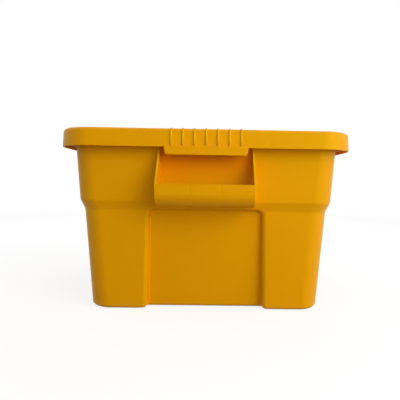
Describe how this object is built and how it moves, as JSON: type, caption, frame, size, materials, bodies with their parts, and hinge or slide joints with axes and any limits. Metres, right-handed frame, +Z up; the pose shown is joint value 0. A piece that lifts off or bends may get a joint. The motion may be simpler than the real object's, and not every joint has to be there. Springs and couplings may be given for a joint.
{
  "type": "grit bin",
  "caption": "Small salt and grit bin: tapered plastic tub with posts, recessed walls and hand pockets, and a lift-off lid.",
  "frame": {"origin": "middle of the bin's plan, on the plane that its four foot pads stand on", "axes": "X across the bin, Y along it with the front hand pocket at -Y, Z up"},
  "size_m": [0.4, 0.5, 0.251],
  "materials": {
    "tub_plastic": "satin yellow polypropylene, fine moulded texture",
    "lid_plastic": "satin yellow polypropylene, fine moulded texture"
  },
  "bodies": {
    "tub": {"tub": "tub_plastic"},
    "lid": {"lid": "lid_plastic"}
  },
  "joints": [
    {"name": "lid_lift", "type": "slide", "parent": "tub", "child": "lid", "axis": [0, 0, 1], "range_m": [0, 0.3]}
  ]
}
